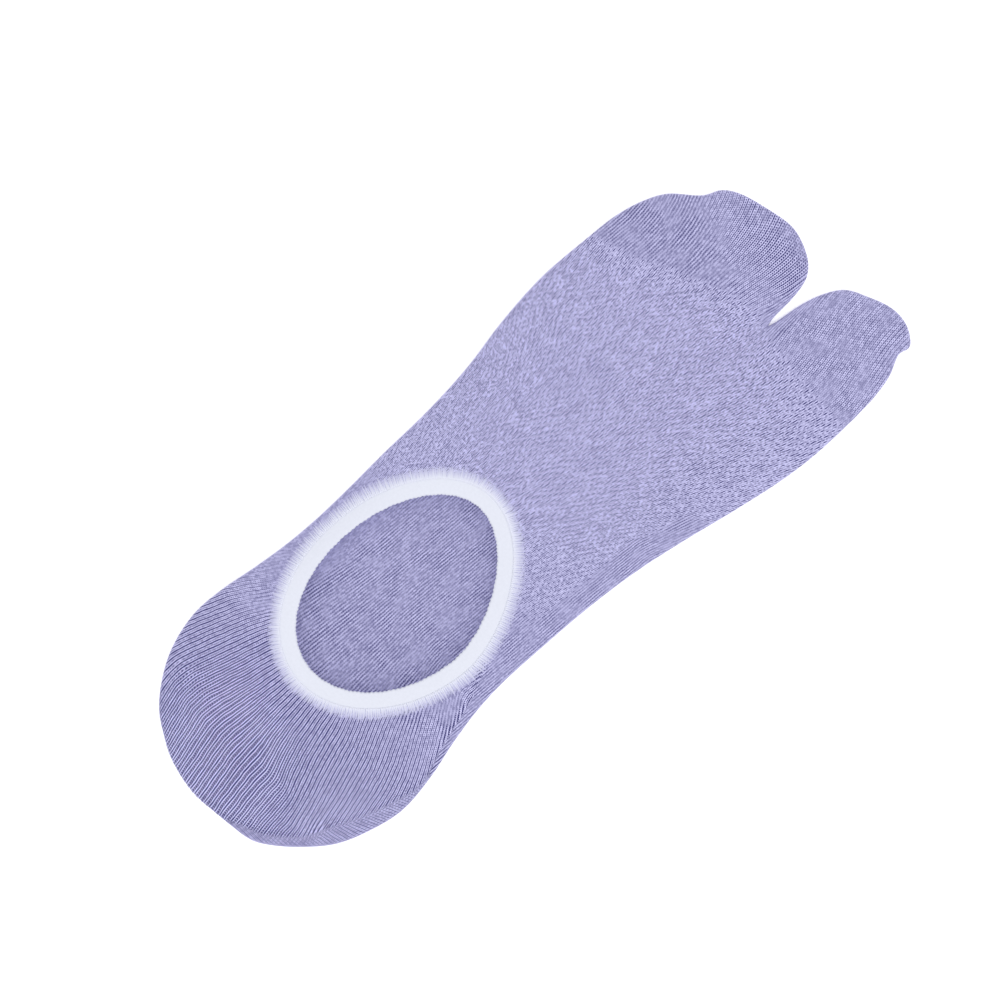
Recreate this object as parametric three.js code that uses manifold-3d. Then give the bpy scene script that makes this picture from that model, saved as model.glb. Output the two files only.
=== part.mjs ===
// A split-toe no-show sock for the left foot, laid flat with its sole down.
// Units are millimetres, +Z is up, +Y runs from heel to toes and +X to the big toe's side.
// The sock is one knitted pouch. Its sole and upper are two layers of cloth that meet in a fold all round,
// and a white elastic edges the egg-shaped mouth in the upper.
import * as THREE from 'three';
import { mergeVertices } from 'three/addons/utils/BufferGeometryUtils.js';
import Module from 'manifold-3d';

const wasm = await Module();
wasm.setup();

// Driving dimensions
const wall = 1.1;              // knitted cloth, one layer
const foldHeight = 2.5;        // both layers, where they meet in a fold
const foldRadius = foldHeight / 2;
const seamGap = 0.3;           // between the knit's cut edge and the elastic

const mouth = {
  along: -35.6,                // centre of the opening, from the middle of the sock
  across: -1.2,
  length: 60.1,
  width: 42.6,
  toeTaper: 0.11,              // share of its width that the egg loses at the toe end
  toeLean: -3,                 // how far its toe end leans to the little toe
  heelLean: -0.9,
};
const elastic = { width: 4.5, thickness: 1.7, proud: 0.25, corner: 0.45 };

// The outline. Each row is a section across the foot or a toe pocket, from folded edge to folded edge.
const heelTip = { along: -110, across: 3 };
const foot = [
  { along: -108.6, lateral: -7.4, medial: 12.0 },
  { along: -106.3, lateral: -13.0, medial: 22.2 },
  { along: -103, lateral: -18.9, medial: 26.8 },
  { along: -97.5, lateral: -24.4, medial: 32.0 },
  { along: -90, lateral: -29.2, medial: 37.2 },
  { along: -80, lateral: -32.3, medial: 40.4 },
  { along: -71, lateral: -32.5, medial: 41.5 },
  { along: -60, lateral: -31.4, medial: 39.6 },
  { along: -50, lateral: -30.7, medial: 36.6 },
  { along: -40, lateral: -30.7, medial: 34.2 },
  { along: -30, lateral: -31.3, medial: 32.9 },
  { along: -15, lateral: -32.6, medial: 32.4 },
  { along: 0, lateral: -33.6, medial: 32.3 },
  { along: 15, lateral: -35.6, medial: 33.1 },
  { along: 30, lateral: -39.0, medial: 35.0 },
  { along: 45, lateral: -41.2, medial: 37.4 },
  { along: 60, lateral: -41.4, medial: 39.3 },
  { along: 70, lateral: -41.1, medial: 39.7 },
];
const crotch = { along: 82.1, across: 6.3 };
const fourToes = [
  { along: 78, lateral: -39.5, medial: null },
  { along: 84, lateral: -36.9, medial: 5.6 },
  { along: 91, lateral: -30.5, medial: 4.9 },
  { along: 95.5, lateral: -28.5, medial: 4.0 },
  { along: 98.4, lateral: -25.0, medial: 2.7 },
  { along: 101.2, lateral: -18.0, medial: -0.6 },
];
const fourToeTip = { along: 103.4, across: -8.6 };
const bigToe = [
  { along: 84, lateral: 6.7, medial: 39.0 },
  { along: 92, lateral: 7.5, medial: 38.0 },
  { along: 98, lateral: 9.0, medial: 36.4 },
  { along: 103.4, lateral: 11.9, medial: 33.7 },
  { along: 106.6, lateral: 16.8, medial: 34.1 },
  { along: 109.3, lateral: 22.4, medial: 30.4 },
];
const bigToeTip = { along: 110, across: 26.3 };

// How far the upper bulges above the fold, along the foot
const bulge = [
  { along: -110, rise: 1.6 },
  { along: -92, rise: 2.5 },
  { along: -70, rise: 3.0 },
  { along: -36, rise: 3.1 },
  { along: 0, rise: 2.2 },
  { along: 35, rise: 1.4 },
  { along: 75, rise: 1.1 },
  { along: 110, rise: 0.9 },
];
const bulgeReach = 14;         // from the fold to where the bulge is full

// The largest creases: round the heel pocket, and the dip below the crotch
const creases = [
  { from: { across: -20, along: -89.5 }, to: { across: 20.5, along: -91 }, depth: 0.7, width: 3 },
  { from: { across: 20.5, along: -91 }, to: { across: 23, along: -103 }, depth: 0.6, width: 3 },
  { from: { across: 6.3, along: 84 }, to: { across: 4.5, along: 68 }, depth: 0.6, width: 4 },
];

// How finely it is cut
const outlineSteps = 900;
const heelSections = 14;
const footSections = 29;
const toeSections = 11;
const mouthSteps = 72;
const heelEnd = -75;           // sections crowd together from here to the heel
const upperColumns = [0, 0.012, 0.035, 0.09, 0.2, 0.35, 0.5, 0.65, 0.8, 0.91, 0.965, 0.988, 1];
const hollowColumns = [0, 0.025, 0.09, 0.22, 0.5, 0.78, 0.91, 0.975, 1];
const flatColumns = 3;         // columns on each side of a strip that the flat sole keeps

const { lerp, clamp } = THREE.MathUtils;

function planPoint(row, side = 'across') {
  return new THREE.Vector3(row[side], row.along, 0);
}

// Once round from crotch to crotch: the four toes, down the lateral side, the heel, up to the big toe
function outlinePoints() {
  const lateral = [...foot, ...fourToes].reverse().map((row) => planPoint(row, 'lateral'));
  const medial = [...foot, ...bigToe].map((row) => planPoint(row, 'medial'));
  const points = [
    planPoint(crotch),
    ...fourToes.filter((row) => row.medial !== null).map((row) => planPoint(row, 'medial')),
    planPoint(fourToeTip),
    ...lateral,
    planPoint(heelTip),
    ...medial,
    planPoint(bigToeTip),
    ...[...bigToe].reverse().map((row) => planPoint(row, 'lateral')),
    planPoint(crotch),
  ];
  return new THREE.CatmullRomCurve3(points, false, 'centripetal').getPoints(outlineSteps);
}

const outline = outlinePoints();

function distanceToFold(x, y) {
  let nearest = Infinity;
  for (let i = 0; i + 1 < outline.length; i += 1) {
    const a = outline[i];
    const b = outline[i + 1];
    const run = { x: b.x - a.x, y: b.y - a.y };
    const share = clamp(((x - a.x) * run.x + (y - a.y) * run.y) / (run.x ** 2 + run.y ** 2), 0, 1);
    nearest = Math.min(nearest, Math.hypot(a.x + share * run.x - x, a.y + share * run.y - y));
  }
  return nearest;
}

function riseAlong(y) {
  const next = clamp(bulge.findIndex((row) => row.along >= y), 1, bulge.length - 1);
  const a = bulge[next - 1];
  const b = bulge[next];
  return lerp(a.rise, b.rise, THREE.MathUtils.smoothstep(y, a.along, b.along));
}

function creaseDepth(x, y) {
  return creases.reduce((sum, { from, to, depth, width }) => {
    const line = new THREE.Line3(planPoint(from), planPoint(to));
    const nearest = line.closestPointToPoint(new THREE.Vector3(x, y, 0), true, new THREE.Vector3());
    const distance = Math.hypot(nearest.x - x, nearest.y - y);
    return sum + depth * Math.exp(-((distance / width) ** 2));
  }, 0);
}

// Heights of the cloth's surface over a plan point, for the outside (inset 0) or the hollow (inset wall)
function heights(x, y, inset) {
  const distance = distanceToFold(x, y);
  const radius = foldRadius - inset;
  const into = clamp(distance - inset, 0, radius);
  const round = Math.sqrt(radius ** 2 - (radius - into) ** 2);
  const share = 1 - (1 - clamp((distance - foldRadius) / bulgeReach, 0, 1)) ** 3;
  const lift = share * (riseAlong(y) - creaseDepth(x, y));
  return { top: foldRadius + round + lift, bottom: foldRadius - round };
}

// The inside lies to the left of each step round the outline
function outlineMovedIn(inset) {
  const moved = outline.map((p, i) => {
    const before = outline[Math.max(i - 1, 0)];
    const after = outline[Math.min(i + 1, outline.length - 1)];
    const step = after.clone().sub(before).setLength(inset);
    return new THREE.Vector3(p.x - step.y, p.y + step.x, 0);
  });
  const crotchIn = new THREE.Vector3(crotch.across, crotch.along - 1.5 * inset, 0);
  return inset === 0 ? moved : [crotchIn, ...moved, crotchIn];
}

// Splits the outline into the four edges that run between the heel, the tips and the crotch
function foldedEdges(inset) {
  const points = outlineMovedIn(inset);
  const extreme = (list, better) => list.reduce((best, p) => (better(p, best) ? p : best));
  const heel = extreme(points, (p, best) => p.y < best.y);
  const heelIndex = points.indexOf(heel);
  const fourTip = extreme(points.slice(0, heelIndex), (p, best) => p.y > best.y);
  const bigTip = extreme(points.slice(heelIndex), (p, best) => p.y > best.y);
  const fourIndex = points.indexOf(fourTip);
  const bigIndex = points.indexOf(bigTip);
  return {
    heel,
    fourTip,
    bigTip,
    crotch: points[0],
    fourInner: points.slice(0, fourIndex + 1),
    lateral: points.slice(fourIndex, heelIndex + 1).reverse(),
    medial: points.slice(heelIndex, bigIndex + 1),
    bigInner: points.slice(bigIndex).reverse(),
  };
}

// Where an edge, listed from low to high, crosses the section at y
function crossing(edge, y) {
  const next = clamp(edge.findIndex((p) => p.y >= y), 1, edge.length - 1);
  const a = edge[next - 1];
  const b = edge[next];
  return lerp(a.x, b.x, clamp((y - a.y) / (b.y - a.y), 0, 1));
}

function closedMesh(positions, indices) {
  const geometry = new THREE.BufferGeometry();
  geometry.setAttribute('position', new THREE.Float32BufferAttribute(positions, 3));
  geometry.setIndex(indices);
  return geometry;
}

// One closed bag through the sections, with a sharp lip all round at half the fold's height
function bag(inset, columns, soleColumns) {
  const edges = foldedEdges(inset);
  const positions = [];
  const indices = [];

  const vertex = (x, y, z) => positions.push(x, y, z) / 3 - 1;

  function section(y, xs, lips) {
    const top = xs.map((x, k) => vertex(x, y, lips.includes(k) ? foldRadius : heights(x, y, inset).top));
    const bottom = xs.map((x, k) => (lips.includes(k) ? top[k] : vertex(x, y, heights(x, y, inset).bottom)));
    return { top, bottom };
  }

  function tip(p, count) {
    const shared = new Array(count).fill(vertex(p.x, p.y, foldRadius));
    return { top: shared, bottom: shared };
  }

  function strip(a, b) {
    for (let k = 0; k + 1 < a.length; k += 1) {
      const corners = [[a[k], a[k + 1], b[k + 1]], [a[k], b[k + 1], b[k]]];
      const whole = corners.filter(([p, q, r]) => p !== q && q !== r && r !== p);
      indices.push(...whole.flat());
    }
  }

  function join(sections, kept) {
    for (let i = 0; i + 1 < sections.length; i += 1) {
      const sole = sections.slice(i, i + 2).map((s) => kept.map((k) => s.bottom[k]).reverse());
      strip(sections[i].top, sections[i + 1].top);
      strip(sole[0], sole[1]);
    }
  }

  const between = (left, right) => columns.map((share) => lerp(left, right, share));
  const last = columns.length - 1;

  function footSection(y) {
    const left = crossing(edges.lateral, y);
    const right = crossing(edges.medial, y);
    const share = (y - edges.heel.y) / (edges.crotch.y - edges.heel.y);
    const split = lerp((left + right) / 2, edges.crotch.x, share);
    const lips = y === edges.crotch.y ? [0, last, 2 * last] : [0, 2 * last];
    return section(y, [...between(left, split), ...between(split, right).slice(1)], lips);
  }

  const footRows = [tip(edges.heel, 2 * last + 1)];
  for (let i = 1; i <= heelSections; i += 1) {
    footRows.push(footSection(lerp(heelEnd, edges.heel.y, Math.cos((i / heelSections) * Math.PI / 2))));
  }
  for (let i = 1; i < footSections; i += 1) {
    footRows.push(footSection(lerp(heelEnd, edges.crotch.y, i / footSections)));
  }
  footRows.push(footSection(edges.crotch.y));
  join(footRows, [...soleColumns, ...soleColumns.slice(1).map((k) => k + last)]);

  function toePocket(leftEdge, rightEdge, end, firstColumn) {
    const start = footRows.at(-1);
    const cut = (list) => list.slice(firstColumn, firstColumn + last + 1);
    const rows = [{ top: cut(start.top), bottom: cut(start.bottom) }];
    for (let i = 1; i < toeSections; i += 1) {
      const y = lerp(edges.crotch.y, end.y, Math.sin((i / toeSections) * Math.PI / 2));
      rows.push(section(y, between(crossing(leftEdge, y), crossing(rightEdge, y)), [0, last]));
    }
    rows.push(tip(end, last + 1));
    join(rows, soleColumns);
  }
  toePocket(edges.lateral, edges.fourInner, edges.fourTip, 0);
  toePocket(edges.bigInner, edges.medial, edges.bigTip, last);

  return closedMesh(positions, indices);
}

// The egg-shaped mouth: a point at this angle from the medial side, moved outward from its inner edge
function mouthPoint(angle, outward = 0) {
  const egg = (turn) => {
    const toward = Math.sin(turn);
    const growth = Math.abs(toward) ** 1.5;
    const lean = (toward > 0 ? mouth.toeLean : mouth.heelLean) * growth;
    const taper = toward > 0 ? 1 - mouth.toeTaper * growth : 1;
    return new THREE.Vector2(
      mouth.across + lean + (mouth.width / 2) * taper * Math.cos(turn),
      mouth.along + (mouth.length / 2) * toward,
    );
  };
  const step = egg(angle + 0.01).sub(egg(angle - 0.01)).normalize();
  return egg(angle).add(new THREE.Vector2(step.y, -step.x).multiplyScalar(outward));
}

function aroundMouth(make) {
  return Array.from({ length: mouthSteps }, (_, i) => make((i / mouthSteps) * 2 * Math.PI));
}

function toSolid(geometry) {
  geometry.deleteAttribute('normal');
  geometry.deleteAttribute('uv');
  const merged = mergeVertices(geometry, 1e-5);
  const mesh = new wasm.Mesh({
    numProp: 3,
    vertProperties: Float32Array.from(merged.attributes.position.array),
    triVerts: Uint32Array.from(merged.index.array),
  });
  return new wasm.Manifold(mesh);
}

function toGeometry(solid) {
  const mesh = solid.getMesh();
  const geometry = closedMesh(Array.from(mesh.vertProperties), Array.from(mesh.triVerts));
  const faceted = geometry.toNonIndexed();
  faceted.computeVertexNormals();
  return faceted;
}

function mouthCutter() {
  const reach = elastic.width + seamGap;
  const shape = new THREE.Shape(aroundMouth((angle) => mouthPoint(angle, reach)));
  const clearOfSole = 1.7 * wall;
  const cutter = new THREE.ExtrudeGeometry(shape, { depth: 10 * wall, bevelEnabled: false });
  return cutter.translate(0, 0, clearOfSole);
}

function knitSock() {
  const soleColumns = (columns) => columns.map((_, k) => k)
    .filter((k) => k < flatColumns || k > columns.length - 1 - flatColumns);
  const outside = toSolid(bag(0, upperColumns, soleColumns(upperColumns)));
  const hollow = toSolid(bag(wall, hollowColumns, soleColumns(hollowColumns)));
  return toGeometry(outside.subtract(hollow).subtract(toSolid(mouthCutter())));
}

// A flat band with rounded corners, laid round the mouth at the height of the upper
function mouthElastic() {
  const { width, thickness, corner, proud } = elastic;
  const profile = [
    { outward: 0, down: corner },
    { outward: corner, down: 0 },
    { outward: width / 2, down: 0 },
    { outward: width - corner, down: 0 },
    { outward: width, down: corner },
    { outward: width, down: thickness - corner },
    { outward: width - corner, down: thickness },
    { outward: corner, down: thickness },
    { outward: 0, down: thickness - corner },
  ];
  const positions = aroundMouth((angle) => profile.map(({ outward, down }) => {
    const p = mouthPoint(angle, outward);
    return [p.x, p.y, heights(p.x, p.y, 0).top + proud - down];
  })).flat(2);
  const indices = [];
  for (let i = 0; i < mouthSteps; i += 1) {
    for (let j = 0; j < profile.length; j += 1) {
      const a = i * profile.length;
      const b = ((i + 1) % mouthSteps) * profile.length;
      const next = (j + 1) % profile.length;
      indices.push(a + j, a + next, b + j, a + next, b + next, b + j);
    }
  }
  const band = closedMesh(positions, indices).toNonIndexed();
  band.computeVertexNormals();
  return band;
}

function piece(name, geometry, finish) {
  const mesh = new THREE.Mesh(geometry, new THREE.MeshStandardMaterial({ metalness: 0, ...finish }));
  mesh.name = name;
  return mesh;
}

const sock = new THREE.Group();
sock.add(piece('knit_sock', knitSock(), { color: 0xaaa7d8, roughness: 0.9 }));
sock.add(piece('mouth_elastic', mouthElastic(), { color: 0xe8ecf8, roughness: 0.6 }));

// The origin is on the ground under the middle of the sock
const middle = new THREE.Box3().setFromObject(sock).getCenter(new THREE.Vector3());
sock.position.set(-middle.x, -middle.y, 0);

export default sock;
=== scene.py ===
# %% [markdown]
# A split-toe no-show sock, knitted in lavender yarn and edged with white elastic, lies flat with its sole
# down. This lesson dresses its imported model: first the camera and the light, then the knitted cloth, the
# elastic round the mouth and the overlock threads that hold the two together. The imported model gives the
# true place and size of everything, so it is loaded first.

# %% Load the imported model
import math
import bmesh
import bpy
import numpy as np
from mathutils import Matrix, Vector


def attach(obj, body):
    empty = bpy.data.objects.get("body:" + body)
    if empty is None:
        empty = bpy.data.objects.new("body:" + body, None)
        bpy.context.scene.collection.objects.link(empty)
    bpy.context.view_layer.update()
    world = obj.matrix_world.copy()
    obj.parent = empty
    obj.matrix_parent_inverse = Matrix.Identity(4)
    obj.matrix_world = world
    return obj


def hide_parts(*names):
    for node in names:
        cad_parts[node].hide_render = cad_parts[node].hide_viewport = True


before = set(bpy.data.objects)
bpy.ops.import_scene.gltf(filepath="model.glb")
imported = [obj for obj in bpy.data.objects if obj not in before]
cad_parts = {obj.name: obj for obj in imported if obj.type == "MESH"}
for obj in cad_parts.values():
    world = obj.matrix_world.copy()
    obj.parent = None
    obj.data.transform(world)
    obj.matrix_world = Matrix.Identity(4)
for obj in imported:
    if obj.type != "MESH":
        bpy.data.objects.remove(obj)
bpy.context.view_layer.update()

MM = 0.001

# %% [markdown]
# The photograph looks straight down. The sock lies across it, its toes up and to the right, so the camera
# is turned about the vertical. A long lens from 0.7 m keeps the edges of the sock free of perspective.
# An orthographic camera would do as well from above, but the side views look more natural with a lens.

# %% Camera
picture_span = 259.34 * MM        # what the square picture spans on the floor
picture_middle = Vector((-3.89 * MM, -0.22 * MM, 1.25 * MM))
turned = math.radians(50)


def place_object(name, data):
    """Puts a mesh, a camera or a lamp into the scene."""
    placed = bpy.data.objects.new(name, data)
    bpy.context.scene.collection.objects.link(placed)
    return placed


camera_data = bpy.data.cameras.new("camera")
camera_data.lens = 100
camera_data.sensor_width = 36
height_above = picture_span * camera_data.lens / camera_data.sensor_width
camera = place_object("camera", camera_data)
camera.location = picture_middle + Vector((0, 0, height_above))
camera.rotation_euler = (0, 0, turned)
bpy.context.scene.camera = camera
print("camera is", round(height_above, 3), "m above the sock")

# %% [markdown]
# The outline is the fold where the sole and the upper meet. Three ways would give it: a traced curve, a
# simulation of an emptied tube, or sections across the foot. Sections are used, as a pattern cutter would
# measure them, and a smooth curve is drawn through their ends. Distances are in millimetres.

# %% The outline of the folded sock
heel_tip = (3.0, -110.0)
foot_sections = [
    # along, lateral, medial
    (-108.6, -7.4, 12.0),
    (-106.3, -13.0, 22.2),
    (-103, -18.9, 26.8),
    (-97.5, -24.4, 32.0),
    (-90, -29.2, 37.2),
    (-80, -32.3, 40.4),
    (-71, -32.5, 41.5),
    (-60, -31.4, 39.6),
    (-50, -30.7, 36.6),
    (-40, -30.7, 34.2),
    (-30, -31.3, 32.9),
    (-15, -32.6, 32.4),
    (0, -33.6, 32.3),
    (15, -35.6, 33.1),
    (30, -39.0, 35.0),
    (45, -41.2, 37.4),
    (60, -41.4, 39.3),
    (70, -41.1, 39.7),
]
crotch = (6.3, 82.1)
four_toe_lateral = [(-39.5, 78), (-36.9, 84), (-30.5, 91), (-28.5, 95.5), (-25.0, 98.4), (-18.0, 101.2)]
four_toe_medial = [(5.6, 84), (4.9, 91), (4.0, 95.5), (2.7, 98.4), (-0.6, 101.2)]
four_toe_tip = (-8.6, 103.4)
big_toe_lateral = [(6.7, 84), (7.5, 92), (9.0, 98), (11.9, 103.4), (16.8, 106.6), (22.4, 109.3)]
big_toe_medial = [(39.0, 84), (38.0, 92), (36.4, 98), (33.7, 103.4), (34.1, 106.6), (30.4, 109.3)]
big_toe_tip = (26.3, 110.0)


def curve_through(points, steps):
    """A centripetal Catmull-Rom curve through the points, with so many steps to each span."""
    p = np.asarray(points, float)
    p = np.vstack([2 * p[0] - p[1], p, 2 * p[-1] - p[-2]])
    t = np.arange(steps)[:, None] / steps
    spans = []
    for a, b, c, d in zip(p, p[1:], p[2:], p[3:]):
        ab, bc, cd = (np.linalg.norm(v) ** 0.5 for v in (b - a, c - b, d - c))
        start = bc * ((b - a) / ab - (c - a) / (ab + bc) + (c - b) / bc)
        end = bc * ((c - b) / bc - (d - b) / (bc + cd) + (d - c) / cd)
        bend = 3 * (c - b) - 2 * start - end
        spans.append(b + start * t + bend * t**2 + (2 * (b - c) + start + end) * t**3)
    return np.vstack(spans + [p[-2:-1]])


foot_lateral = [(left, y) for y, left, right in foot_sections]
foot_medial = [(right, y) for y, left, right in foot_sections]
outline = curve_through(
    [crotch, *four_toe_medial, four_toe_tip, *reversed(four_toe_lateral), *reversed(foot_lateral),
     heel_tip, *foot_medial, *big_toe_medial, big_toe_tip, *reversed(big_toe_lateral), crotch],
    steps=10,
)
middle = (outline.min(0) + outline.max(0)) / 2
print("outline:", len(outline), "points,", np.ptp(outline, axis=0).round(1), "mm")

# %% [markdown]
# The height of the cloth over each point of the plan depends on how far that point is from the fold. At
# the fold the two layers turn over in a half round, and further in the upper bulges a little with the
# springiness of the knit. One function gives both, so every piece that lies on the cloth can use it.

# %% Heights of the cloth
wall = 1.1                        # one layer of knit
fold_radius = 1.25                # half of two layers, where they turn
bulge_reach = 14
bulge_rows = [(-110, 1.6), (-92, 2.5), (-70, 3.0), (-36, 3.1), (0, 2.2), (35, 1.4), (75, 1.1), (110, 0.9)]


def distance_to(curve, x, y):
    """How far each point is from a curve, and the direction that leads away from it."""
    points = np.stack([np.ravel(x), np.ravel(y)], -1)
    start, run = curve[:-1], np.diff(curve, axis=0)
    long = (run**2).sum(1)
    nearest, away = np.empty(len(points)), np.empty((len(points), 2))
    for first in range(0, len(points), 4000):
        some = points[first:first + 4000, None, :]
        share = np.clip(((some - start) * run).sum(-1) / long, 0, 1)
        gap = some - start - share[..., None] * run
        square = (gap**2).sum(-1)
        best = square.argmin(1)
        row = np.arange(len(best))
        nearest[first:first + 4000] = np.sqrt(square[row, best])
        away[first:first + 4000] = gap[row, best]
    away /= np.maximum(nearest, 1e-6)[:, None]
    return nearest.reshape(np.shape(x)), away.reshape(*np.shape(x), 2)


def unit(vectors):
    return vectors / np.linalg.norm(vectors, axis=-1, keepdims=True)


def smoothly(x):
    x = np.clip(x, 0, 1)
    return x * x * (3 - 2 * x)


def between_rows(rows, y):
    """The second column of a table, smoothly between its rows."""
    at, value = np.array(rows, float).T
    i = np.clip(np.searchsorted(at, y) - 1, 0, len(at) - 2)
    share = smoothly((y - at[i]) / (at[i + 1] - at[i]))
    return value[i] + (value[i + 1] - value[i]) * share


# %% [markdown]
# Creases are few on so small and springy a sock. The pressed heel pocket has the deepest, where the wales
# bend sharply, and the cloth dips below the crotch between the toes. The rest are slack places. Each is a
# soft trough along a straight line, set down one by one: a simulation would not put them in these places.

# %% Creases and slack
creases = [
    # across and along of one end, then of the other, then depth and half width
    (-20, -89.5, 20.5, -91, 0.7, 3.0),
    (20.5, -91, 23, -103, 0.6, 3.0),
    (6.3, 84, 4.5, 68, 0.6, 4.0),
    (1.5, -95, 13, -97, 0.22, 1.6),
    (-17, -97, -6, -101.5, 0.16, 2.0),
    (-31, -86, -21, -76, 0.18, 2.6),
    (30, -82, 38, -64, 0.2, 2.4),
    (-36, 84, -27, 93, 0.22, 2.4),
    (-19, 88, -15, 101, 0.14, 2.2),
    (1, 88, -2, 98, 0.2, 2.0),
    (12, 84, 14, 102, 0.16, 2.2),
    (30, 92, 35, 105, 0.2, 1.9),
    (24, 98, 26, 109, 0.12, 1.8),
    (-34, 18, -22, 34, 0.1, 5.0),
    (8, 8, 20, 26, 0.1, 6.0),
    (-12, 52, 6, 60, 0.08, 6.0),
    (26, 38, 33, 62, 0.1, 5.0),
]


def crease_depth(x, y, lines=creases):
    depth = np.zeros(np.shape(x))
    for x0, y0, x1, y1, deep, wide in lines:
        run_x, run_y = x1 - x0, y1 - y0
        share = np.clip(((x - x0) * run_x + (y - y0) * run_y) / (run_x**2 + run_y**2), 0, 1)
        gap = np.hypot(x0 + share * run_x - x, y0 + share * run_y - y)
        depth = depth + deep * np.exp(-((gap / wide) ** 2))
    return depth


def cloth_heights(x, y, inset=0.0):
    """Top, bottom and upward normal of a layer of cloth, moved in from the outside by inset."""
    distance, away = distance_to(outline, x, y)
    radius = fold_radius - inset
    into = np.clip(distance - inset, 0, radius)
    turn = np.sqrt(np.maximum(radius**2 - (radius - into) ** 2, 0))
    past = np.clip((distance - fold_radius) / bulge_reach, 0, 1)
    full = 1 - (1 - past) ** 3
    rise = between_rows(bulge_rows, y)
    lift = full * (rise - crease_depth(x, y))
    slope = (radius - into) / np.maximum(turn, 0.02) * (into < radius)
    slope = slope + 3 * (1 - past) ** 2 / bulge_reach * rise * (past > 0)
    normal = np.concatenate([-slope[..., None] * away, np.ones((*np.shape(x), 1))], -1)
    return fold_radius + turn + lift, fold_radius - turn, unit(normal)


top = cloth_heights(np.array([0.0, 0.0]), np.array([-80.0, 40.0]))[0]
print("height over the heel and the instep:", top.round(2), "mm")

# %% [markdown]
# Knit is columns of loops, called wales, crossed by rows called courses. Every relief, colour and hole on
# the sock follows them, so each point of the cloth gets a wale number and a course number. The wales run
# straight up the instep, crowd beside the mouth, fan out over the heel and spread again in the toes. The
# chart below says where a few guide wales lie at each height, and the rest come smoothly between them.

# %% Where the wales run
guide_wales = (-48, -40, -32, -24, -16, -8, 0, 8, 16, 24, 32, 40, 48)
wale_chart = [
    # along, then across for each guide wale
    (-112, -52, -43.5, -35, -26.3, -17.6, -7.3, 5.9, 19.6, 30.9, 41, 50, 59, 68),
    (-106, -55, -46, -37.5, -28.8, -19.8, -8.9, 4.4, 18.2, 29.3, 39.5, 49, 58, 67),
    (-100, -58, -49, -40, -31, -22, -10.7, 2.9, 16.9, 27.7, 38, 47, 56, 65),
    (-95, -60, -51, -42, -32.4, -23.4, -12.2, 1.6, 16.1, 26.8, 35, 43, 51, 59),
    (-91, -60, -51, -42, -32.6, -23.5, -12.2, 1.3, 15.6, 25.4, 33.3, 41.2, 49.1, 57),
    (-86, -59, -50, -41, -31.6, -22.4, -11.3, 0.9, 13, 23.5, 31.9, 39.9, 47.7, 55.5),
    (-80, -57, -48, -39, -29.9, -20.8, -10.2, 0.2, 10.6, 20.9, 30.1, 38.1, 46, 54),
    (-75, -55, -46, -37.2, -28.2, -19.5, -9.5, -0.1, 9.2, 19, 28.3, 37, 45.5, 54),
    (-70, -53, -44.2, -35.4, -26.7, -18.1, -8.8, -0.5, 7.9, 17.1, 26.4, 35.4, 44.5, 53.5),
    (-65, -50, -41.4, -32.8, -24.2, -16.3, -8.4, -0.8, 6.9, 14.6, 23.7, 33, 42.5, 52),
    (-60, -46.6, -38.2, -29.8, -21.2, -14, -7.9, -1, 6, 12.2, 20.9, 30, 39.5, 49),
    (-50, -40, -31.6, -24.4, -18, -12.8, -7, -1.2, 5, 10.6, 16.6, 23.5, 32.4, 41),
    (-40, -33, -26.4, -20.4, -15.6, -11.4, -6.6, -1.3, 4.6, 9.6, 14.2, 18.6, 24.4, 32.8),
    (-30, -33, -28.3, -23.6, -18.8, -13.6, -7.7, -1.4, 5, 10.6, 15.7, 20.7, 26, 31.4),
    (0, -34, -29.2, -24.3, -19.2, -13.6, -7.7, -1.4, 5, 10.6, 15.7, 20.7, 25.8, 31),
    (20, -34.5, -29.8, -24.9, -19.7, -14, -7.9, -1.4, 5.2, 11.2, 16.7, 21.8, 26.6, 31.3),
    (40, -40, -34.4, -28.1, -21.6, -15, -8.3, -1.4, 5.5, 12.2, 18.7, 24.9, 31, 37),
    (66, -39.6, -33.6, -27.5, -21.2, -14.8, -8.3, -1.5, 5.6, 12.7, 19.9, 27.1, 34.3, 41.4),
]
toe_fan_rows = [(66, 1), (72, 1), (78, 1.03), (84, 1.11), (88, 1.21), (92, 1.31), (96, 1.42), (100, 1.57),
                (104, 1.74), (111, 2)]
toe_middle_rows = [(66, -6), (72, -6), (84, -9.5), (88, -8), (92, -4.7), (96, -1.5), (100, 3), (111, 6)]
big_toe_fan_rows = [(66, 1), (72, 1.01), (78, 1.05), (84, 1.1), (97, 1.1), (103, 1.06), (111, 1.05)]
big_toe_lean_rows = [(66, 0.03), (72, 0.05), (78, 0.12), (84, 0.155), (90, 0.22), (96, 0.26), (102, 0.14),
                     (111, 0.06)]
big_toe_middle = 22


def column_through(rows, column, y, soften=1.1):
    """A column of a chart, straight between its rows, with each corner rounded over a millimetre."""
    columns = np.array(rows, float).T
    return sum(np.interp(y + soften * k / 2, columns[0], columns[column]) for k in range(-2, 3)) / 5


toe_levels = np.arange(60, 113, 0.25)
toe_fan = column_through(toe_fan_rows, 1, toe_levels)
toe_middle = column_through(toe_middle_rows, 1, toe_levels)
toe_drift = np.cumsum(toe_middle * np.gradient(toe_fan) / toe_fan**2)
big_toe_drift = np.cumsum(column_through(big_toe_lean_rows, 1, toe_levels) * 0.25 * (toe_levels > 66))


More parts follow.
